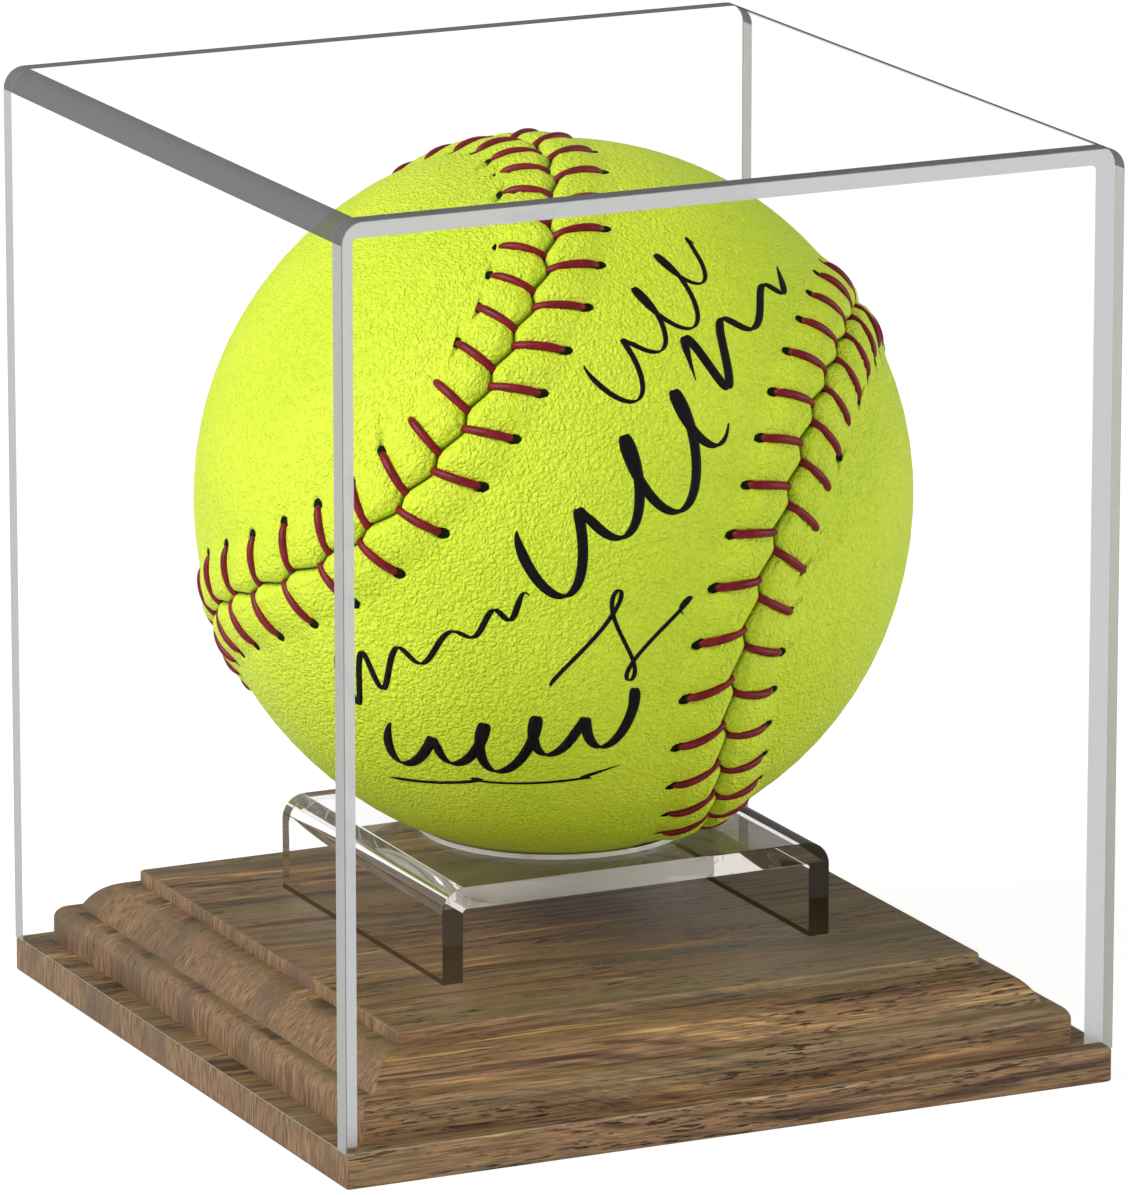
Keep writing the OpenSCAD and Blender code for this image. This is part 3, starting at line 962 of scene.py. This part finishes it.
def needle_hole_shades(material):
    """A painted-shade oval over the needle hole of every leg of thread."""
    points, faces = joined([needle_hole_shade(k, side) for k in range(STITCH_N) for side in (-1, 1)])
    holes = solid("ball_needle_hole_shades", points, faces, material)
    return place(holes, "ball", "ball_leather")


# ---- Pen flourishes ----


def scribble(u, length, height, turns, lean):
    """A running line of uneven loops."""
    beat = 0.3 + 0.7 * np.abs(np.cos(math.pi * (0.37 * turns * u + 0.08)))
    y = height / 2 * beat * np.cos(2 * math.pi * turns * u)
    x = length * (u - 0.5) - 0.2 * height * beat * np.sin(2 * math.pi * turns * u)
    return x + lean * y, y


def ripple(u, length, height, turns, lean):
    """A wave whose crests sink towards its end."""
    beat = (1 - 0.6 * u) * (0.7 + 0.3 * np.cos(5 * u))
    y = height / 2 * beat * np.sin(2 * math.pi * turns * (u + 0.05 * np.sin(6 * u)))
    return length * (u - 0.5) + lean * y, y


def swash(u, length, height, turns, lean):
    """One broad sweep with a hooked end."""
    a = 2 * math.pi * turns * (u - 0.12)
    x = length * (u - 0.5) + 0.1 * length * np.sin(2 * a)
    y = height / 2 * np.sin(a) * (0.5 + 0.5 * np.cos(math.pi * (u - 0.35)))
    return x + lean * y, y


def flourish(shape, azimuth, elevation, roll, size, pen):
    """A pen stroke on the ball round a place given by its compass angle and height angle."""
    length, height, turns, lean = size
    turn = math.radians(roll)
    centre = np.array(compass(azimuth, elevation))
    east = unit(np.cross([0, 0, 1], centre))
    north = np.cross(centre, east)
    u = np.linspace(0, 1, int(70 + 60 * turns))
    x, y = shape(u, length * MM, height * MM, turns, lean)
    flat_x = x * math.cos(turn) - y * math.sin(turn)
    flat_y = x * math.sin(turn) + y * math.cos(turn)
    world = unit(centre + (flat_x[:, None] * east + flat_y[:, None] * north) / BALL_R)
    heading = np.arctan2(np.gradient(y), np.gradient(x))
    nib = pen * MM / 2 * (0.3 + 0.7 * np.abs(np.sin(heading + math.radians(25))))
    nib = nib * ease(u, -0.01, 0.05) * (1 - ease(u, 0.93, 1.02)) + 0.04 * MM
    own = world @ TURN
    run, off = seam_place(own)[1:]
    height_over = leather_relief(own, run, off)[0]
    return tube(ball_points(own, height_over + 0.015 * MM), world, nib, 0.05 * MM, 6)


def flourishes(material):
    """Wordless pen flourishes, the last underlined, where a signed ball has its signatures."""
    # Shape, compass angle, height angle, roll, (length, height, turns, lean) and pen in mm
    strokes = [
        flourish(scribble, -2, 43, 47, (30, 10, 4.2, 0.35), 0.7),
        flourish(ripple, 17, 39, 28, (27, 10, 3.2, 0.5), 1.3),
        flourish(scribble, -13, 14, 39, (35, 13, 3.6, 0.4), 1.35),
        flourish(ripple, -46, -12, 28, (34, 8, 5.5, 0.5), 0.85),
        flourish(swash, -13, -9, 13, (17, 14, 1.6, 0.5), 0.55),
        flourish(scribble, -33, -29, 12, (37, 9, 5.2, 0.45), 1.4),
        flourish(swash, -33, -38, 10, (32, 3, 1.1, 0.0), 0.8),
    ]
    points, faces = joined(strokes)
    ink = solid("ball_ink_flourishes", points, faces, material)
    return place(ink, "ball", "ball_leather")


# ---- Stage ----

AMBIENT = 0.38


def seen_directly(tree):
    """A node output that is 1 for rays from the lens, straight or through clear sheets."""
    path = tree.nodes.new("ShaderNodeLightPath")
    either = tree.nodes.new("ShaderNodeMath")
    either.operation = "MAXIMUM"
    tree.links.new(path.outputs["Is Camera Ray"], either.inputs[0])
    tree.links.new(path.outputs["Is Transmission Ray"], either.inputs[1])
    return either.outputs[0]


def studio_world():
    """A white surround that lights the object only softly."""
    world = bpy.data.worlds.new("studio")
    bpy.context.scene.world = world
    world.use_nodes = True
    tree = world.node_tree
    light = tree.nodes["Background"]
    light.inputs["Color"].default_value = WHITE
    level = tree.nodes.new("ShaderNodeMapRange")
    level.inputs["To Min"].default_value = AMBIENT
    level.inputs["To Max"].default_value = 1.0
    tree.links.new(seen_directly(tree), level.inputs["Value"])
    tree.links.new(level.outputs[0], light.inputs["Strength"])


def floor():
    """A plain pale floor that fades into the white surround."""
    s = Shader("studio_floor")
    seen = seen_directly(s.tree)
    grain = s.noise(s.scaled(0.02, 0.02, 0.02), 2.0)
    grey = s.mix(grain, (0.76, 0.76, 0.76, 1.0), (0.78, 0.78, 0.78, 1.0))
    plain = s.add("BsdfDiffuse", {"Color": grey})
    pale = s.add("BsdfDiffuse", {"Color": (0.3, 0.3, 0.3, 1.0)})
    glow = s.add("Emission", {"Color": WHITE, "Strength": 0.86})
    bright = s.add("AddShader", {0: pale.outputs[0], 1: glow.outputs[0]})
    s.surface(s.add("MixShader", {0: seen, 1: plain.outputs[0], 2: bright.outputs[0]}).outputs[0])
    sides = 96
    radius = 6.0
    turn = np.linspace(0, 2 * math.pi, sides, endpoint=False)
    mesh = bpy.data.meshes.new("floor")
    mesh.from_pydata([(radius * math.cos(a), radius * math.sin(a), 0.0) for a in turn], [],
                     [list(range(sides))])
    mesh.materials.append(s.material)
    ground = bpy.data.objects.new("floor", mesh)
    bpy.context.scene.collection.objects.link(ground)


def aimed(name, data, target, azimuth, elevation, distance):
    """A lamp or a camera that looks at target from a direction in degrees and a distance."""
    back = Vector(compass(azimuth, elevation))
    holder = bpy.data.objects.new(name, data)
    holder.location = target + back * distance
    holder.rotation_mode = "QUATERNION"
    holder.rotation_quaternion = (-back).to_track_quat("-Z", "Y")
    bpy.context.scene.collection.objects.link(holder)
    return holder


def softbox(name, azimuth, elevation, distance, size, power):
    """A square area light that looks at the ball."""
    lamp = bpy.data.lights.new(name, "AREA")
    lamp.shape = "SQUARE"
    lamp.size = size
    lamp.energy = power
    aimed(name, lamp, BALL_CENTRE, azimuth, elevation, distance)


def studio_lights():
    softbox("key", azimuth=-84, elevation=36, distance=0.9, size=0.5, power=7.8)
    softbox("fill", azimuth=60, elevation=0, distance=1.2, size=0.8, power=10.4)


def studio_camera():
    """A long lens, to the left of the front and a little above."""
    lens = bpy.data.cameras.new("camera")
    lens.sensor_width = 36.0
    lens.lens = 298.45
    lens.clip_start = 0.05
    lens.clip_end = 20.0
    target = Vector((1.59, 0.0, 59.99)) * MM
    bpy.context.scene.camera = aimed("camera", lens, target, azimuth=-25.40, elevation=14.25,
                                     distance=1.3394)


def light_paths():
    """Bounces enough for the clear sheets, and plain colours."""
    scene = bpy.context.scene
    scene.view_settings.view_transform = "Standard"
    scene.cycles.max_bounces = 80
    scene.cycles.transmission_bounces = 80
    scene.cycles.glossy_bounces = 80
    scene.cycles.diffuse_bounces = 3
    scene.cycles.transparent_max_bounces = 48
    scene.cycles.caustics_reflective = False
    scene.cycles.caustics_refractive = False


# ---- The scene ----

base_board(walnut_material())
base_felt(felt_material())
riser()
cover()
leather = leather_material()
leather_panel("ball_leather_a", False, leather, "ball_cover_a")
leather_panel("ball_leather_b", True, leather, "ball_cover_b")
stitching(thread_material())
needle_hole_shades(hole_shade_material())
flourishes(ink_material())
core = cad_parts["ball_core"]
core.data.materials.clear()
core.data.materials.append(core_material())

studio_world()
floor()
studio_lights()
studio_camera()
light_paths()

bpy.context.view_layer.update()
